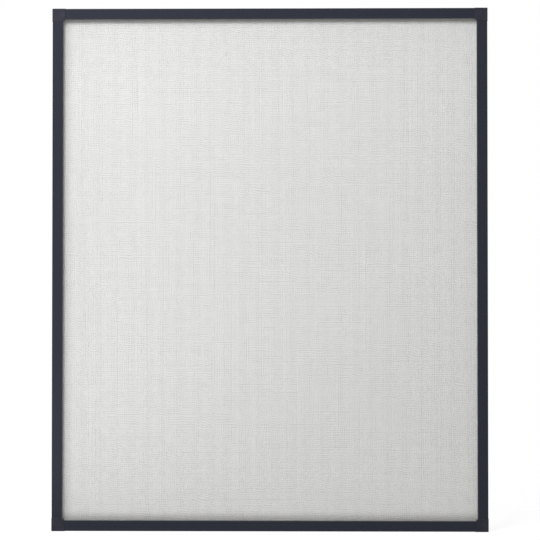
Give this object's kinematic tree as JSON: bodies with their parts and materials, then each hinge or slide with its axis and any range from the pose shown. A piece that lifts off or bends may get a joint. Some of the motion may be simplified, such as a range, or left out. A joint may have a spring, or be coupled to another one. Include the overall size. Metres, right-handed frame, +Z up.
{
  "type": "window insect screen",
  "caption": "Flat rectangular window screen: slim dark aluminium bars joined by moulded corner connectors, with a fine grey mesh held by a spline cord in a rear groove.",
  "frame": {"origin": "centre of the whole screen's box, so the centre of the clear opening", "axes": "+Z up the screen, X across its width, +Y from the flat front towards the rear with the spline groove"},
  "size_m": [1, 0.0104, 1.2],
  "materials": {
    "bars": "matte",
    "connectors": "matte",
    "mesh": "matte",
    "spline": "matte"
  },
  "bodies": {
    "root": {"top_rail": "bars", "bottom_rail": "bars", "left_stile": "bars", "right_stile": "bars", "corner_top_left": "connectors", "corner_top_right": "connectors", "corner_bottom_left": "connectors", "corner_bottom_right": "connectors", "insect_mesh": "mesh", "spline": "spline"}
  },
  "joints": []
}
